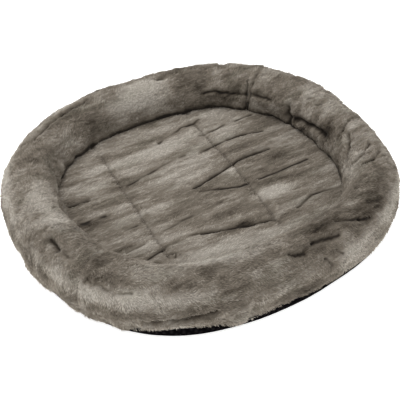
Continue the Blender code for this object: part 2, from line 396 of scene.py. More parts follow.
# The same for the inner side of the bolster, where it leans over the pad.
UNEVEN_INSIDE = (
    (166, 15, 0.011),
    (150, 12, 0.003),
    (28, 16, 0.011),
    (5, 14, 0.010),
    (345, 14, 0.011),
    (325, 12, 0.005),
)
JOIN_ANGLES = (40, 205)  # where the two panels meet, in degrees round the bed
GATHERED_PLACE, GATHERED_SPREAD = 350, 38  # where the cloth is bunched, in degrees
CELL = 0.0130  # of the cloth that is inflated
CELL_COLUMNS = 16  # points of that cloth, round the section
CELL_STEPS = 8  # each cell is drawn this much finer
PRESSURE = 3.0  # of the filling on the cloth
SETTLING_FRAMES = 20
SWELL_START = 0.0040  # how far the cloth is pushed out before its wrinkles are worked out
SWELL_CAP = 0.0035  # and how far it may go after that
INNER_FOOT_HEIGHT = 0.014
# The lower edge of the plush, which was sewn on unevenly: degrees round the bed and its height.
EDGE_HEIGHTS = (
    (0, 0.012), (150, 0.011), (205, 0.010), (218, 0.013), (222, 0.026), (228, 0.033),
    (238, 0.037), (246, 0.032), (250, 0.019), (254, 0.030), (262, 0.037), (277, 0.034),
    (285, 0.031), (294, 0.032), (305, 0.036), (316, 0.033), (330, 0.022), (345, 0.014),
    (360, 0.012),
)
# Folds where the pile parts: from and to, each in degrees round the bed and round the section,
# then depth and half width.
FOLDS = (
    ((36, 58), (40, 178), 0.0030, 0.0032),  # the back join
    ((205, -20), (205, 178), 0.0003, 0.0020),  # the front join
    ((16, 164), (-5, 147), 0.0075, 0.0045),
    ((15, 176), (17, 146), 0.0065, 0.0050),
    ((189.5, 73), (194.5, 64), 0.0080, 0.0040),
    ((196, 66), (203, 63), 0.0014, 0.0030),
    ((268, 67), (273, 59), 0.0044, 0.0036),
    ((273, 65), (277, 70), 0.0030, 0.0034),
    ((277, 70), (287, 60), 0.0036, 0.0040),
    ((279, 36), (281, 20), 0.0032, 0.0030),
    ((284, 40), (286, 28), 0.0022, 0.0028),
    ((289, 84), (296, 62), 0.0030, 0.0030),
    ((296, 62), (301, 50), 0.0036, 0.0030),
    ((224, 0), (232, 8), 0.0080, 0.0034),
    ((232, 8), (243, 15), 0.0070, 0.0036),
    ((206, 48), (214, 38), 0.0016, 0.0030),
    ((214, 40), (221, 44), 0.0014, 0.0030),
    ((62, 150), (41, 150), 0.0030, 0.0036),
    ((39, 148), (27, 145), 0.0026, 0.0034),
    ((138, 84), (124, 88), 0.0040, 0.0030),
    ((122, 89), (108, 87), 0.0045, 0.0030),
    ((333, 150), (338, 128), 0.0042, 0.0026),
    ((338, 128), (345, 116), 0.0042, 0.0026),
    ((329, 132), (331, 110), 0.0038, 0.0026),
    ((331, 110), (337, 92), 0.0038, 0.0026),
    ((325, 118), (327, 96), 0.0034, 0.0026),
    ((327, 96), (332, 78), 0.0034, 0.0026),
    ((348, 122), (351, 100), 0.0036, 0.0026),
    ((352, 80), (356, 96), 0.0034, 0.0024),
    ((2, 100), (6, 116), 0.0030, 0.0024),
    ((11, 118), (8, 100), 0.0030, 0.0024),
    ((84, 96), (76, 104), 0.0030, 0.0030),
)
# Pale and dark areas of painted highlight and painted shade, where the pile is brushed one way or
# the
# other: degrees round the bed and round the section, spread along the bolster and round it in
# metres, and how much.
BRUSHED_HIGHLIGHT_AND_SHADE = (
    (84, 112, 0.040, 0.020, 0.48),
    (94, 130, 0.040, 0.020, 0.44),
    (84, 144, 0.034, 0.016, 0.40),
    (172, 108, 0.055, 0.032, 0.26),
    (183, 95, 0.040, 0.024, 0.20),
    (145, 40, 0.080, 0.016, 0.34),
    (122, 70, 0.070, 0.009, 0.30),
    (165, 35, 0.060, 0.014, 0.22),
    (203, 28, 0.075, 0.011, 0.34),
    (224, 37, 0.055, 0.012, 0.28),
    (237, 45, 0.060, 0.011, 0.26),
    (251, 116, 0.070, 0.018, 0.36),
    (240, 140, 0.050, 0.014, 0.30),
    (292, 24, 0.050, 0.015, 0.20),
    (354, 145, 0.034, 0.014, -0.16),
    (313, 34, 0.065, 0.012, 0.36),
    (236, -2, 0.060, 0.008, 0.16),
    (262, 24, 0.050, 0.009, 0.18),
    (352, 100, 0.060, 0.026, 0.12),
    (12, 108, 0.050, 0.020, 0.16),
    (302, 70, 0.044, 0.019, -0.42),
    (284, 92, 0.040, 0.018, -0.26),
    (277, 64, 0.050, 0.012, -0.20),
    (66, 100, 0.060, 0.030, -0.26),
    (50, 150, 0.060, 0.014, -0.20),
    (106, 142, 0.070, 0.018, -0.06),
    (30, 145, 0.030, 0.012, -0.20),
    (214, 56, 0.034, 0.012, -0.18),
    (193, 14, 0.018, 0.008, -0.12),
    (248, 40, 0.060, 0.012, -0.18),
    (266, 4, 0.050, 0.012, -0.20),
    (205, 88, 0.030, 0.016, -0.12),
)

half_bolster = BOLSTER_WIDTH / 2
foot_ratio = sqrt(1 - (BOLSTER_FLAT / BOLSTER_WIDTH) ** 2)
half_rise = HEIGHT / (1 + foot_ratio)
centre_rise = HEIGHT - half_rise


def outline(angles):
    """Points of the bed's outline in these directions, and the outward normals there."""
    along, across = np.cos(angles), np.sin(angles)
    reach = (
        np.abs(along / HALF_LENGTH) ** OUTLINE_POWER + np.abs(across / HALF_WIDTH) ** OUTLINE_POWER
    ) ** (-1 / OUTLINE_POWER)
    points = np.stack([reach * along, reach * across], -1)
    slope = OUTLINE_POWER - 1
    normals = np.stack(
        [
            np.sign(along) * np.abs(points[..., 0] / HALF_LENGTH) ** slope / HALF_LENGTH,
            np.sign(across) * np.abs(points[..., 1] / HALF_WIDTH) ** slope / HALF_WIDTH,
        ],
        -1,
    )
    return points, normals / np.linalg.norm(normals, axis=-1, keepdims=True)


def section_turn(height):
    """The turn round the bolster's section, from its outermost point, at this height."""
    return np.arcsin((height - centre_rise) / half_rise)


def plush_edge(angles, above=0.0):
    """The turn round the section at the lower edge of the plush, or at some height above it."""
    heights = np.interp(np.degrees(angles) % 360, *np.transpose(EDGE_HEIGHTS))
    return section_turn(heights + above)


def degrees_from(angles, direction):
    """How far round the bed these are from a direction given in degrees, from -180 to 180."""
    return (np.degrees(angles) - direction + 180) % 360 - 180


def tube(angles, turns, depth):
    """Points of the bolster at these directions round the bed and turns round its section."""
    points, normals = outline(angles)
    out = (half_bolster - depth) * np.cos(turns) - half_bolster
    for direction, spread, push in UNEVEN_STUFFING:
        away = degrees_from(angles, direction)
        out = out + push * np.exp(-((away / spread) ** 2)) * np.clip(np.cos(turns), 0, 1)
    for direction, spread, push in UNEVEN_INSIDE:
        away = degrees_from(angles, direction)
        inward = np.clip(-np.cos(turns), 0, 1) * np.clip(0.3 + np.sin(turns), 0, 1)
        out = out - push * np.exp(-((away / spread) ** 2)) * inward
    flat = points + normals * out[..., None]
    height = centre_rise + (half_rise - depth) * np.sin(turns)
    return np.concatenate([flat, height[..., None]], -1)


def lumps(points, size, seed):
    """Smooth random bumps of this size, from -1 to 1, at an array of points."""
    table = np.random.default_rng(seed).uniform(-1, 1, (32, 32, 32))
    place = points / np.asarray(size)
    corner = np.floor(place).astype(int)
    share = place - corner
    share = share * share * (3 - 2 * share)
    total = np.zeros(place.shape[:-1])
    for step in np.ndindex(2, 2, 2):
        weight = np.prod(np.where(np.array(step) == 1, share, 1 - share), -1)
        index = (corner + step) % 32
        total += weight * table[index[..., 0], index[..., 1], index[..., 2]]
    return total


def grid_normals(points):
    """Normals of a grid of points, outward where its columns turn inwards over the top."""
    return unit(np.cross(np.gradient(points, axis=0), np.gradient(points, axis=1)))


def grid_faces(rows, columns, closed_rows=False, closed_columns=False):
    """The four-sided faces of a grid, which may close on itself in either direction."""
    i, j = np.meshgrid(
        np.arange(rows if closed_rows else rows - 1),
        np.arange(columns if closed_columns else columns - 1),
        indexing="ij",
    )
    far_i, far_j = (i + 1) % rows, (j + 1) % columns
    corners = [i * columns + j, far_i * columns + j, far_i * columns + far_j, i * columns + far_j]
    return np.stack(corners, -1).reshape(-1, 4)


def finer_rows(cells):
    """A grid of values, with smooth curves drawn down its columns at finer steps."""
    padded = np.concatenate([2 * cells[:1] - cells[1:2], cells, 2 * cells[-1:] - cells[-2:-1]])
    before, start, end, after = (padded[k : len(padded) - 3 + k] for k in range(4))
    rows = []
    for step in range(CELL_STEPS):
        t = step / CELL_STEPS
        bend = 2 * before - 5 * start + 4 * end - after + t * (3 * (start - end) + after - before)
        rows.append(start + t / 2 * (end - before + t * bend))
    return np.concatenate([np.stack(rows, 1).reshape(-1, *cells.shape[1:]), cells[-1:]])


def finer(cells):
    """A grid of values, drawn finer in both directions."""
    return finer_rows(finer_rows(cells).swapaxes(0, 1)).swapaxes(0, 1)


def swelling(points, held):
    """How far each point of a cloth moves when its filling pushes it out. Held points stay put."""
    faces = grid_faces(*points.shape[:2])
    mesh = bpy.data.meshes.new("cloth")
    mesh.from_pydata(points.reshape(-1, 3).tolist(), [], faces.tolist())
    cloth_object = bpy.data.objects.new("cloth", mesh)
    bpy.context.scene.collection.objects.link(cloth_object)
    group = cloth_object.vertex_groups.new(name="held")
    group.add(np.flatnonzero(held.reshape(-1)).tolist(), 1.0, "REPLACE")
    cloth = cloth_object.modifiers.new("Cloth", "CLOTH")
    cloth.settings.vertex_group_mass = "held"
    cloth.settings.use_pressure = True
    cloth.settings.uniform_pressure_force = PRESSURE
    cloth.settings.effector_weights.gravity = 0.0
    cloth.settings.shrink_min = -0.05  # the cloth is cut a little too large, so that it wrinkles
    cloth.settings.tension_stiffness = 20
    cloth.settings.bending_stiffness = 0.8
    cloth.point_cache.frame_end = SETTLING_FRAMES
    for frame_number in range(1, SETTLING_FRAMES + 1):
        bpy.context.scene.frame_set(frame_number)
    settled = cloth_object.evaluated_get(bpy.context.evaluated_depsgraph_get())
    moved = np.empty(len(mesh.vertices) * 3)
    settled.data.vertices.foreach_get("co", moved)
    shift = moved.reshape(points.shape) - points
    bpy.context.scene.frame_set(1)
    bpy.data.objects.remove(cloth_object)
    size = np.linalg.norm(shift, axis=-1, keepdims=True)
    return shift * np.minimum(1.0, SWELL_CAP / np.maximum(size, 1e-9))


def cover_grid(first, last, rows, columns):
    """One panel from its lower outer edge, over the top, to its inner foot: the directions round
    the bed, the turns round the section, and the points of the cloth before it swells."""
    angles = np.linspace(radians(first), radians(last), rows)
    low, high = plush_edge(angles), pi - section_turn(INNER_FOOT_HEIGHT)
    turns = low[:, None] + (high - low[:, None]) * np.linspace(0, 1, columns)
    angles = np.broadcast_to(angles[:, None], (rows, columns))
    swell = np.sin(np.linspace(0, pi, columns)) ** 0.6
    return angles, turns, tube(angles, turns, CLOTH_DEPTH - SWELL_START * swell)


def from_line(points, line):
    """How far each point is from a line of points, and the direction away from it."""
    flat = points.reshape(-1, 3)
    nearest = np.full((len(flat), 3), 10.0)
    for start, end in zip(line[:-1], line[1:]):
        run = end - start
        share = np.clip((flat - start) @ run / (run @ run), 0, 1)
        offset = flat - start - share[:, None] * run
        closer = np.einsum("ij,ij->i", offset, offset) < np.einsum("ij,ij->i", nearest, nearest)
        nearest[closer] = offset[closer]
    distance = np.linalg.norm(nearest, axis=1).reshape(points.shape[:-1])
    return distance, unit(nearest).reshape(points.shape)


def fold_line(points, angles, turns, start, end):
    """The part of a fold that lies on this panel, as points of its cloth."""
    line = []
    for share in np.linspace(0, 1, 14):
        angle = radians(start[0] + (end[0] - start[0]) * share)
        turn = radians(start[1] + (end[1] - start[1]) * share)
        if angle < angles[0, 0] - radians(2):
            angle += 2 * pi
        if angle < angles[-1, 0] + radians(2):
            row = np.argmin(np.abs(angles[:, 0] - angle))
            line.append(points[row, np.argmin(np.abs(turns[row] - turn))])
    return np.array(line)


def plush_cloth(name, surface, faces, node_name):
    """The knitted cloth under the pile, with painted shade that is darkest where the pile parts."""
    piece = new_piece(name, surface["points"].reshape(-1, 3), faces, plush, [node_name])
    # Painted shade: the cloth is dark under the pile, most where the pile is thin.
    root = 0.45 + 0.55 * (1 - surface["cover"]) ** 2
    paint(piece, surface["tone"].reshape(-1), root.reshape(-1), surface["map"].reshape(-1, 2))
    return piece


def bolster_cover(name, first, last):
    """Makes one panel of plush, and gives its surface with all that its pile needs."""
    rows = round(BOLSTER_LENGTH * (last - first) / 360 / CELL) + 1
    cloth = cover_grid(first, last, rows, CELL_COLUMNS)[2]
    held = np.ones((rows, CELL_COLUMNS), bool)
    held[1:-1, 1:-1] = False
    shift = swelling(cloth, held)
    # The cloth was held still at its joins. Their thread is slack, so they swell with the rest.
    rise = np.mean(np.sum(shift * grid_normals(cloth), -1), 0)
    near_join = np.exp(-((np.minimum(np.arange(rows), np.arange(rows)[::-1]) / 2.5) ** 2))
    shift = shift + grid_normals(cloth) * (near_join[:, None] * rise)[..., None]
    shift = finer(shift)
    angles, turns, points = cover_grid(first, last, *shift.shape[:2])
    points = points + shift
    normals = grid_normals(points)
    # Dents in the filling and patches in the dye, each of three sizes. Here and below, depth is how
    # far the surface stands out, and tone how pale it is.
    depth = 0.0020 * lumps(points, 0.050, 11) + 0.0011 * lumps(points, 0.020, 12)
    depth += 0.0005 * lumps(points, 0.009, 13)
    tone = 0.5 + 0.12 * lumps(points, 0.045, 14) + 0.10 * lumps(points, 0.018, 15)
    tone += 0.06 * lumps(points, 0.007, 16)
    # The pile is crushed where the bolster meets the pad, and painted shade makes it dark there.
    tone -= 0.45 * np.exp(-((points[..., 2] - PAD_TOP - 0.001) / 0.005) ** 2) * (turns > pi / 2)
    # Where the bolster turns tightly at the right-hand end, the cloth is gathered into ripples,
    # with painted highlight on their crests and painted shade in their troughs.
    gathered = np.exp(-((degrees_from(angles, GATHERED_PLACE) / GATHERED_SPREAD) ** 2))
    bent = points[..., 1] + 0.004 * lumps(points, 0.030, 25)
    ripple = lumps(np.stack([points[..., 0] * 0.22, bent, turns * 0.02], -1), 0.0062, 17)
    depth += 0.0013 * gathered * ripple
    tone += 0.20 * gathered * ripple
    # Fine creases wander over the cloth, most of them where it is gathered, and painted shade
    # darkens them.
    creased = 0.30 + 0.70 * gathered
    crease = np.exp(-((lumps(points * (1, 1, 0.7), 0.024, 27) / 0.07) ** 2))
    crease *= creased * np.clip(0.2 + lumps(points, 0.045, 28), 0, 1)
    depth -= 0.0014 * crease
    tone -= 0.40 * crease
    # The pile is thin in a crease, and there is none in the slit beside the pad.
    cover = 1 - 0.85 * crease
    buried = np.clip((PAD_TOP + 0.004 - points[..., 2]) / 0.004, 0, 1) * (turns > pi / 2)
    cover *= 1 - 0.95 * buried
    trim = 1 - 0.5 * np.exp(-((points[..., 2] - PAD_TOP - 0.003) / 0.005) ** 2) * (turns > pi / 2)
    # A fold is a groove between two low banks. In it the pile is thin, short and parted, and
    # painted shade darkens it.
    parting = np.zeros(points.shape)
    for start, end, fold_depth, half_width in FOLDS:
        line = fold_line(points, angles, turns, start, end)
        if len(line) < 2:
            continue  # it is on the other panel
        wander = 0.0020 * lumps(line, 0.012, 18)
        away, outward = from_line(points, line + np.stack([wander, wander, wander], -1))
        away = away / half_width
        ragged = 1 + 0.35 * lumps(points, 0.006, 19)
        depth -= fold_depth * np.exp(-((away * ragged) ** 2))
        depth += fold_depth * 0.22 * np.exp(-((away - 2.2) ** 2))
        strength = np.clip(fold_depth / 0.0035 + 0.7 * lumps(points, 0.013, 29) - 0.1, 0, 1)
        cover *= 1 - 0.88 * strength * np.exp(-((away * 1.5 * ragged) ** 2))
        trim *= 1 - 0.45 * strength * np.exp(-((away * 0.55) ** 2))
        tone -= 0.36 * strength * np.exp(-((away * 1.4) ** 2))
        parting += outward * (4.0 * strength * np.exp(-((away / 1.9) ** 2)))[..., None]
    # Painted highlight and painted shade, where the pile is brushed one way or the other.
    for angle, turn, spread_along, spread_round, amount in BRUSHED_HIGHLIGHT_AND_SHADE:
        along = degrees_from(angles, angle) * radians(1) * RING_RADIUS
        around = (turns - radians(turn)) * SECTION_RADIUS
        wavy = 1 + 0.45 * lumps(points, 0.022, 20) + 0.25 * lumps(points, 0.008, 21)
        spot = np.exp(-(((along / spread_along) ** 2 + (around / spread_round) ** 2) ** 1.3) * wavy)
        tone += amount * spot
    points = points + normals * depth[..., None]
    normals = grid_normals(points)
    # The pile leans towards the right-hand end, and down over the outside of the bolster, which it
    # does most at the right of the front.
    down = -unit(np.gradient(points, axis=1))
    right_front = np.exp(-((degrees_from(angles, 305) / 30) ** 2))
    lean = down * (0.45 + 1.2 * right_front + 0.8 * lumps(points, 0.035, 22))[..., None]
    lean += down * (0.7 * lumps(points, 0.011, 26))[..., None]
    lean += np.array([1.0, 0.0, 0.0]) * (0.8 + 0.4 * lumps(points, 0.020, 23))[..., None]
    lean += parting
    nap = unit(lean - normals * np.sum(lean * normals, -1, keepdims=True))
    share_along = (angles - angles[0, 0]) / (angles[-1, 0] - angles[0, 0])
    share_round = np.broadcast_to(np.linspace(0, 1, points.shape[1]), share_along.shape)
    surface = {
        "points": points,
        "normals": normals,
        "nap": nap,
        "map": np.stack([0.01 + 0.98 * share_along, 0.01 + 0.98 * share_round], -1),
        "tone": tone,
        "cover": cover,
        "lift": 1 + 0.35 * lumps(points, 0.012, 24),
        "trim": trim,
    }
    piece = plush_cloth(f"{name}_plush", surface, grid_faces(*points.shape[:2]), name)
    return surface


left_surface = bolster_cover("bolster_cover_left", JOIN_ANGLES[0], JOIN_ANGLES[1])
right_surface = bolster_cover("bolster_cover_right", JOIN_ANGLES[1], JOIN_ANGLES[0] + 360)
pile("bolster_pile_left", left_surface, 36000, 31, "bolster_cover_left")
pile("bolster_pile_right", right_surface, 44000, 32, "bolster_cover_right")

# ---- Pad cover ----
# The sleeping pad is a flat cushion of the same plush, with its streaks along the bed. Two rows of
# quilting hold its wadding, and its edge is sewn down to the base inside the bolster.

PAD_ROUND = 0.014  # its rounded edge
PAD_CELLS_LONG, PAD_CELLS_WIDE = 38, 34  # of the cloth that is inflated
PAD_SWELL = 0.6  # the share of the swelling that is kept, as wadding is soft
QUILT_HOLD = 0.005  # how far the stitches hold the cloth down, on each side of a row
QUILT_DEPTH, QUILT_HALF_WIDTH = 0.0032, 0.0055  # of the groove that they make
RIB_SPACING = 0.019
# The rows of quilting, from back to front: each is a line of points across the pad.
QUILT_ROWS = (
    ((-0.100, 0.150), (-0.110, 0.040), (-0.117, -0.040), (-0.123, -0.118)),
    ((0.078, 0.150), (0.074, 0.015), (0.066, -0.060), (0.057, -0.141)),
)
# Where the pile parts along the pad: a line of points, then depth and half width.
PARTINGS = (
    (((-0.012, 0.003), (0.056, 0.020), (0.108, 0.029), (0.148, 0.028)), 0.0050, 0.0034),
    (((0.045, 0.078), (0.090, 0.083), (0.122, 0.084), (0.166, 0.074)), 0.0032, 0.0028),
    (((0.067, 0.116), (0.120, 0.119), (0.173, 0.120)), 0.0022, 0.0028),
    (((-0.006, -0.009), (0.057, -0.030), (0.116, -0.029), (0.185, -0.028)), 0.0026, 0.0032),
    (((0.101, -0.119), (0.137, -0.105), (0.188, -0.115)), 0.0032, 0.0032),
    (((-0.055, -0.093), (0.007, -0.112), (0.056, -0.122)), 0.0042, 0.0030),
    (((-0.200, 0.061), (-0.166, 0.059)), 0.0065, 0.0032),
    (((-0.205, 0.016), (-0.160, 0.013)), 0.0020, 0.0050),
    (((-0.150, -0.030), (-0.128, -0.028)), 0.0030, 0.0026),
    (((-0.170, -0.075), (-0.140, -0.072)), 0.0030, 0.0026),
    (((-0.160, -0.105), (-0.100, -0.090), (-0.060, -0.090)), 0.0028, 0.0030),
    (((-0.100, 0.062), (-0.030, 0.078), (0.020, 0.083)), 0.0018, 0.0028),
    (((0.000, 0.135), (0.050, 0.150), (0.090, 0.155)), 0.0020, 0.0030),
    # A curl of pile where the left row of quilting ends.
    (((-0.126, -0.111), (-0.117, -0.108), (-0.111, -0.114), (-0.115, -0.121)), 0.0034, 0.0026),
    (((-0.100, -0.060), (-0.040, -0.050), (0.010, -0.048)), 0.0018, 0.0030),
)
# Pale and dark areas of painted highlight and painted shade, where the pile is brushed one way or
# the
# other: a place on the pad, its spread each way, and how much.
PAD_BRUSHED_HIGHLIGHT_AND_SHADE = (
    (0.092, -0.068, 0.038, 0.012, 0.40),
    (0.061, 0.009, 0.014, 0.007, 0.34),
    (0.000, 0.110, 0.090, 0.030, 0.14),
    (-0.080, 0.120, 0.070, 0.012, 0.16),
    (-0.165, 0.085, 0.040, 0.020, 0.14),
    (-0.130, 0.020, 0.040, 0.008, 0.14),
    (-0.020, -0.145, 0.090, 0.014, 0.26),
    (0.110, -0.140, 0.050, 0.012, 0.14),
    (0.050, 0.060, 0.060, 0.010, 0.12),
    (-0.030, 0.042, 0.060, 0.010, 0.10),
    (0.020, -0.070, 0.050, 0.014, -0.22),
    (0.120, 0.055, 0.060, 0.016, -0.20),
    (0.130, 0.005, 0.070, 0.014, -0.18),
    (-0.190, 0.000, 0.030, 0.012, -0.20),
    (-0.120, -0.020, 0.040, 0.008, -0.12),
    (0.020, -0.105, 0.050, 0.009, -0.20),
    (0.150, -0.060, 0.040, 0.012, -0.14),
)

pad_inset = HALF_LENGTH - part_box("pad_cover")[1].x


def pad_grid(long_steps, wide_steps):
    """Points over the pad's oval, each row of the grid running the length of the pad."""
    across, along = np.meshgrid(
        np.linspace(-1, 1, wide_steps + 1), np.linspace(-1, 1, long_steps + 1), indexing="ij"
    )
    ring = np.maximum(np.abs(along), np.abs(across))
    angles = np.arctan2(across * HALF_WIDTH, along * HALF_LENGTH)
    edge, normals = outline(angles)
    edge = edge - normals * (pad_inset - 0.001)
    flat = edge * ring[..., None]
    from_edge = np.linalg.norm(edge, axis=-1) * (1 - ring)
    curve = np.clip(1 - from_edge / PAD_ROUND, 0, 1)
    height = PAD_TOP - PILE_DEPTH - PAD_ROUND * (1 - np.sqrt(1 - curve**2)) * 0.9
    return np.concatenate([flat, height[..., None]], -1), from_edge


def flat_line(places):
    """Places on the pad as points at floor level, to be measured from in plan."""
    return np.array([(*place, 0.0) for place in places])


cloth, _ = pad_grid(PAD_CELLS_LONG, PAD_CELLS_WIDE)
held = np.zeros(cloth.shape[:2], bool)
held[[0, -1]] = held[:, [0, -1]] = True
for row in QUILT_ROWS:
    held |= from_line(cloth * (1, 1, 0), flat_line(row))[0] < QUILT_HOLD
shift = finer(swelling(cloth, held) * PAD_SWELL)
points, from_edge = pad_grid(PAD_CELLS_LONG * CELL_STEPS, PAD_CELLS_WIDE * CELL_STEPS)
level = points * (1, 1, 0)
inside = np.clip(from_edge / 0.020, 0, 1)
# Ribs run the length of the pad, with painted highlight along their tops and painted shade between
# them.
wander = 0.006 * lumps(level, (0.120, 0.060, 1), 41) + 0.002 * lumps(level, (0.030, 0.030, 1), 42)
rib_turn = (level[..., 1] + wander) / RIB_SPACING
rib = np.abs(np.sin(pi * rib_turn)) ** 0.6
rib_strength = 0.5 + 0.5 * lumps(level, (0.060, RIB_SPACING, 1), 43)
depth = 0.0014 * inside * rib_strength * (rib - 0.7)
tone = 0.52 + 0.16 * lumps(level, (0.090, 0.016, 1), 44)
tone += 0.08 * lumps(level, (0.035, 0.006, 1), 45)
tone += 0.05 * lumps(level, (0.010, 0.004, 1), 46) + 0.10 * rib_strength * (rib - 0.7)
depth += 0.0010 * lumps(level, 0.040, 47) + 0.0004 * lumps(level, (0.016, 0.007, 1), 48)
cover, trim = np.clip(from_edge / 0.008 - 0.2, 0, 1), np.ones(tone.shape)
tone -= 0.5 * np.exp(-((from_edge / 0.009) ** 2))  # painted shade round the edge, where the pile is crushed
# As on the bolster the pile parts in grooves, which here are broken along their length and darkened
# with painted shade.
parting = np.zeros(points.shape)
for line, line_depth, half_width in PARTINGS:
    away, outward = from_line(level, flat_line(line))
    away = away / half_width
    away *= 1 + 0.35 * lumps(level, (0.012, 0.004, 1), 49)
    broken = np.clip(line_depth / 0.004 + 0.8 * lumps(level, (0.016, 0.016, 1), 54), 0.15, 1)
    depth -= line_depth * broken * np.exp(-(away**2))
    cover *= 1 - 0.97 * broken * np.exp(-((away * 1.6) ** 2))
    trim *= 1 - 0.45 * broken * np.exp(-((away * 0.6) ** 2))
    tone -= 0.50 * broken * np.exp(-((away * 1.6) ** 2))
    parting += outward * (2.4 * broken * np.exp(-((away / 1.7) ** 2)))[..., None]
# The quilting sinks the cloth into channels, which painted shade darkens a little.
for row in QUILT_ROWS:
    away = from_line(level, flat_line(row))[0] / QUILT_HALF_WIDTH
    away *= 1 + 0.20 * lumps(level, 0.008, 50)
    depth -= QUILT_DEPTH * np.exp(-(away**2))
    cover *= 1 - 0.50 * np.exp(-((away * 1.8) ** 2))
    tone -= 0.09 * np.exp(-(away**2))
# Painted highlight and painted shade, where the pile is brushed one way or the other.
for x, y, spread_x, spread_y, amount in PAD_BRUSHED_HIGHLIGHT_AND_SHADE:
    wavy = 1 + 0.35 * lumps(level, (0.030, 0.012, 1), 51)
    spot = ((level[..., 0] - x) / spread_x) ** 2 + ((level[..., 1] - y) / spread_y) ** 2
    tone += amount * np.exp(-(spot**1.3) * wavy)
points = points + shift + np.array([0, 0, 1]) * depth[..., None]
normals = -grid_normals(points)
nap = np.zeros(points.shape)
nap[..., 0] = 1.0
nap[..., 1] = 0.35 * lumps(level, (0.070, 0.030, 1), 52)
nap += parting
nap = unit(nap - normals * np.sum(nap * normals, -1, keepdims=True))
pad_surface = {
    "points": points,
    "normals": normals,
    "nap": nap,
    "map": 0.5 + 0.49 * points[..., :2] / (HALF_LENGTH - pad_inset),
    "tone": tone,
    "cover": cover,
    "lift": 0.55 + 0.2 * lumps(points, 0.012, 53),
    "trim": trim,
}
pad = plush_cloth("pad_plush", pad_surface, grid_faces(*points.shape[:2])[:, ::-1], "pad_cover")
pile("pad_pile", pad_surface, 36000, 33, "pad_cover")

# ---- Filling and wadding ----
# White polyester fibre: loose and lumpy in the bolster, and a flat layer of wadding in the pad. The
# covers hide both.

FIBRE_WHITE, FIBRE_SHADE = "#efece6", "#cfcac1"
FILLING_DEPTH = 0.016  # under the tips of the pile, below the deepest fold of the cover
FILLING_HEART = 0.04  # nearly the middle of the bolster, which its lumps stand out from
FILLING_ALONG, FILLING_ROUND = 240, 48  # points of its grid
WADDING_LONG, WADDING_WIDE = 60, 52  # steps of its grid
WADDING_SHARE = 0.94  # of the size of the pad
WADDING_DEPTH = 0.011  # under the pad's surface
FIBRE_FOOT = 0.004  # both rest this far up, on the base


def two_tones(material, share, dark, pale):
    """Mixes two colours by a share."""
    shades = node(material, "ShaderNodeValToRGB", Fac=share)
    shades.color_ramp.elements[0].color = dark
    shades.color_ramp.elements[1].color = pale
    return shades.outputs[0]


# Soft white wool to the eye, with wisps that cast a little shade on one another.
fibre = new_material("polyester_fibre")
wisps = node(fibre, "ShaderNodeTexNoise", Scale=70.0, Detail=6.0, Distortion=1.5).outputs[0]
wisp_colours = two_tones(fibre, wisps, linear(FIBRE_SHADE), linear(FIBRE_WHITE))
wisp_relief = node(fibre, "ShaderNodeBump", Height=wisps, Strength=0.8, Distance=0.002)
surface_look(fibre, Base_Color=wisp_colours, Roughness=0.95, Normal=wisp_relief.outputs[0])

angles, turns = np.meshgrid(
    np.linspace(0, 2 * pi, FILLING_ALONG, endpoint=False),
    np.linspace(0, 2 * pi, FILLING_ROUND, endpoint=False),
    indexing="ij",
)
points = tube(angles, turns, FILLING_DEPTH)
outward = unit(points - tube(angles, turns, FILLING_HEART))
points += 0.0025 * lumps(points, 0.022, 61)[..., None] * outward
points[..., 2] = np.maximum(points[..., 2], FIBRE_FOOT)
new_piece(
    "loose_filling",
    points.reshape(-1, 3),
    grid_faces(FILLING_ALONG, FILLING_ROUND, closed_rows=True, closed_columns=True),
    fibre,
    ["bolster_filling"],
)

top, _ = pad_grid(WADDING_LONG, WADDING_WIDE)
top = top * (WADDING_SHARE, WADDING_SHARE, 1.0) - (0, 0, WADDING_DEPTH)
top[..., 2] += 0.0015 * lumps(top, 0.025, 62)
bottom = top * (1, 1, 0) + (0, 0, FIBRE_FOOT)
numbers = np.arange(top[..., 0].size).reshape(top.shape[:2])
rim = np.concatenate([numbers[0], numbers[1:, -1], numbers[-1, -2::-1], numbers[-2:0:-1, 0]])
skin = grid_faces(*top.shape[:2])
rim_below = rim + numbers.size
wall = np.stack([rim, np.roll(rim, -1), np.roll(rim_below, -1), rim_below], -1)
new_piece(
    "flat_wadding",
    np.concatenate([top.reshape(-1, 3), bottom.reshape(-1, 3)]),
    np.concatenate([skin[:, ::-1], skin + numbers.size, wall]),
    fibre,
    ["pad_wadding"],
)

# ---- Base cloth ----
# One oval of black woven polyester under everything, turned up round the foot of the bolster and
# sewn to the lower edge of the plush.

BASE_BLACK, BASE_GREY = "#060506", "#181617"
WEAVE_PITCH = 0.0012  # drawn coarser than the real one
GRIP_PITCH, GRIP_WIDTH = 0.009, 0.0028  # the rubber dots of the underside
BASE_HEIGHT = 0.0008  # of the drawn sheet over the floor
SEAM_ABOVE = 0.002  # the base reaches this far over the lower edge of the plush
FLAT_RINGS, TURN_UP_RINGS = 36, 14
BASE_AROUND = 360


def ridges(material, direction, pitch, wander):
    """Fine ridges this far apart, running across an object."""
    places = node(material, "ShaderNodeTexCoord").outputs["Object"]
    look = {"Vector": places, "Scale": 1 / pitch / 20, "Distortion": wander}
    return node(material, "ShaderNodeTexWave", bands_direction=direction, **look).outputs[0]


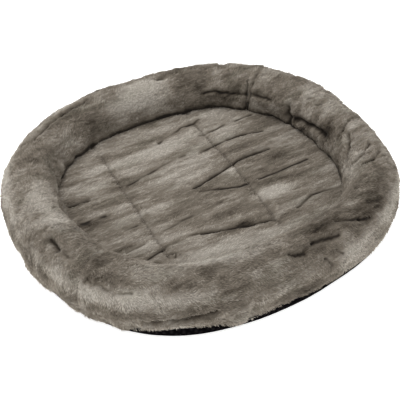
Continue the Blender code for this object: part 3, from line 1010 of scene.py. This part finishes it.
def base_cloth_material():
    """A dull black weave, which reads as a thin dark edge under the plush. On the underside, rubber
    grip dots catch the light."""
    made = new_material("black_woven_polyester_with_grip_dots")
    places = node(made, "ShaderNodeTexCoord").outputs["Object"]
    threads = [ridges(made, direction, WEAVE_PITCH, 0.4) for direction in ("X", "Y")]
    weave = node(made, "ShaderNodeMath", enumerate(threads), operation="MULTIPLY").outputs[0]
    half = GRIP_PITCH / 2
    tile = [(0, places), (1, (half, half, 1.0)), (2, (-half, -half, -1.0))]
    tiled = node(made, "ShaderNodeVectorMath", tile, operation="WRAP").outputs[0]
    flattened = [(0, tiled), (1, (1.0, 1.0, 0.0))]
    across = node(made, "ShaderNodeVectorMath", flattened, operation="MULTIPLY").outputs[0]
    reach = node(made, "ShaderNodeVectorMath", [(0, across)], operation="LENGTH")
    dots = node(
        made,
        "ShaderNodeMapRange",
        Value=reach.outputs["Value"],
        interpolation_type="SMOOTHSTEP",
        From_Min=GRIP_WIDTH / 2,
        From_Max=GRIP_WIDTH / 2 - 0.0006,
    ).outputs[0]
    height = node(made, "ShaderNodeSeparateXYZ", Vector=places).outputs["Z"]
    low = [(0, height), (1, 0.0012)]  # just over the height of the sheet
    on_floor = node(made, "ShaderNodeMath", low, operation="LESS_THAN").outputs[0]
    grip = node(made, "ShaderNodeMath", [(0, dots), (1, on_floor)], operation="MULTIPLY").outputs[0]
    both = [(0, grip), (1, 3.0), (2, weave)]
    raised = node(made, "ShaderNodeMath", both, operation="MULTIPLY_ADD").outputs[0]
    relief = node(made, "ShaderNodeBump", Height=raised, Strength=0.7, Distance=0.0003)
    gloss = node(made, "ShaderNodeMapRange", Value=grip, To_Min=0.95, To_Max=0.45)
    shine = node(made, "ShaderNodeMapRange", Value=grip, To_Min=0.0, To_Max=0.4)
    surface_look(
        made,
        Base_Color=two_tones(made, weave, linear(BASE_BLACK), linear(BASE_GREY)),
        Normal=relief.outputs[0],
        Roughness=gloss.outputs[0],
        Specular_IOR_Level=shine.outputs[0],
    )
    return made


base_material = base_cloth_material()
base_angles = np.linspace(0, 2 * pi, BASE_AROUND + 1)[:-1]
top_turn = plush_edge(base_angles, SEAM_ABOVE)
foot_turn = section_turn(BASE_HEIGHT)
shares = np.linspace(0, 1, TURN_UP_RINGS)
wall = np.stack(
    [
        tube(base_angles, foot_turn + (top_turn - foot_turn) * share, PILE_DEPTH + 0.001)
        for share in shares
    ],
    1,
)
wall[..., 2] = np.maximum(wall[..., 2] - 0.0015, BASE_HEIGHT)
# The turn-up is eased into faint gathers where it goes round the foot.
gathers = 0.0007 * lumps(wall * (1, 1, 0.2), 0.012, 71) * shares
wall[..., :2] += gathers[..., None] * outline(base_angles)[1][:, None]
shares = np.linspace(0.001, 0.985, FLAT_RINGS)
flat_part = wall[:, :1] * (1, 1, 0) * shares[None, :, None] + (0, 0, BASE_HEIGHT)
sheet_points = np.concatenate([flat_part, wall], 1)
base_sheet = new_piece(
    "base_sheet",
    sheet_points.reshape(-1, 3),
    grid_faces(*sheet_points.shape[:2], closed_rows=True),
    base_material,
    ["base_cloth"],
)

# ---- Stitches ----
# Lockstitch in twisted polyester thread, taupe in the plush and black where plush meets base. Each
# stitch is a short bead of thread that rises a little from the seam.

THREAD_TAUPE, THREAD_BLACK = "#6d6459", "#141213"
THREAD_WIDTH = 0.0010
STITCH_LENGTH, STITCH_GAP = 0.0034, 0.0012
STITCH_RISE = 0.0004
BEAD_RINGS, BEAD_SIDES = 5, 6
TWIST_PITCH = 0.0009
INNER_SEAM_DEPTH = 0.007  # under the tips of the pile
THREAD_ABOVE_CHANNEL = 0.0006  # the middle of the quilting thread over the cloth
JOIN_MARGIN = 6  # points of a panel's edge left free at each end of its join


def thread_material(name, colour):
    """Fine slanting ridges of twist, which give each stitch a soft gloss."""
    made = new_material(name)
    twist = ridges(made, "DIAGONAL", TWIST_PITCH, 1.0)
    # Painted shade darkens the thread in the grooves of its twist.
    shade = [c * 0.6 for c in linear(colour)[:3]] + [1.0]
    shades = two_tones(made, twist, shade, linear(colour))
    relief = node(made, "ShaderNodeBump", Height=twist, Strength=0.6, Distance=0.0002)
    surface_look(made, Base_Color=shades, Normal=relief.outputs[0], Roughness=0.55)
    return made


def stitches(name, path, material):
    """A row of stitches along a line of points."""
    path = np.asarray(path)
    along = np.concatenate([[0], np.cumsum(np.linalg.norm(np.diff(path, axis=0), axis=1))])
    starts = np.arange(0, along[-1] - STITCH_LENGTH, STITCH_LENGTH + STITCH_GAP)
    shares = np.linspace(0, 1, BEAD_RINGS)
    places = starts[:, None] + STITCH_LENGTH * shares
    centres = np.stack([np.interp(places, along, path[:, k]) for k in range(3)], -1)
    run = unit(centres[:, -1:] - centres[:, :1])
    side = unit(np.cross(run, [0, 0, 1.0]))
    rise = np.cross(side, run)
    centres = centres + rise * (STITCH_RISE * np.sin(pi * shares))[:, None]
    turns = np.linspace(0, 2 * pi, BEAD_SIDES, endpoint=False)
    ring = side[:, :, None] * np.cos(turns)[:, None] + rise[:, :, None] * np.sin(turns)[:, None]
    radii = THREAD_WIDTH / 2 * np.array([0.45, 0.9, 1.0, 0.9, 0.45])
    points = centres[:, :, None] + ring * radii[None, :, None, None]
    one = grid_faces(BEAD_RINGS, BEAD_SIDES, closed_columns=True)[:, ::-1]
    # Each six-sided end is closed by two faces.
    ends = np.array([(0, 1, 2, 3), (0, 3, 4, 5), (27, 26, 25, 24), (29, 28, 27, 24)])
    faces = np.concatenate([one, ends])
    firsts = np.arange(len(starts))[:, None, None] * BEAD_RINGS * BEAD_SIDES
    faces = (firsts + faces[None]).reshape(-1, 4)
    return new_piece(f"{name}_stitches", points.reshape(-1, 3), faces, material, [name])


taupe_thread = thread_material("taupe_sewing_thread", THREAD_TAUPE)
black_thread = thread_material("black_sewing_thread", THREAD_BLACK)
round_angles = np.linspace(0, 2 * pi, 721)
outer_seam = tube(round_angles, plush_edge(round_angles, SEAM_ABOVE), PILE_DEPTH)
inner_turns = np.full(len(round_angles), pi - section_turn(INNER_FOOT_HEIGHT))
inner_seam = tube(round_angles, inner_turns, INNER_SEAM_DEPTH)
stitches("outer_seam_thread", outer_seam, black_thread)
stitches("inner_seam_thread", inner_seam, black_thread)


def on_pad(row):
    """Points of a row of quilting, lying in its channel."""
    line = np.array(row)
    y = np.linspace(line[0, 1], line[-1, 1], 60)
    x = np.interp(-y, -line[:, 1], line[:, 0])
    on = pad_surface["points"].reshape(-1, 3)
    nearest = [np.argmin(np.hypot(on[:, 0] - at_x, on[:, 1] - at_y)) for at_x, at_y in zip(x, y)]
    return np.stack([x, y, on[nearest, 2] + THREAD_ABOVE_CHANNEL], -1)


for where, row in zip(("left", "right"), QUILT_ROWS):
    stitches(f"quilt_thread_{where}", on_pad(row), taupe_thread)
for where, surface in (("back", left_surface), ("front", right_surface)):
    join = surface["points"][0, JOIN_MARGIN:-JOIN_MARGIN]
    stitches(f"join_thread_{where}", join, taupe_thread)
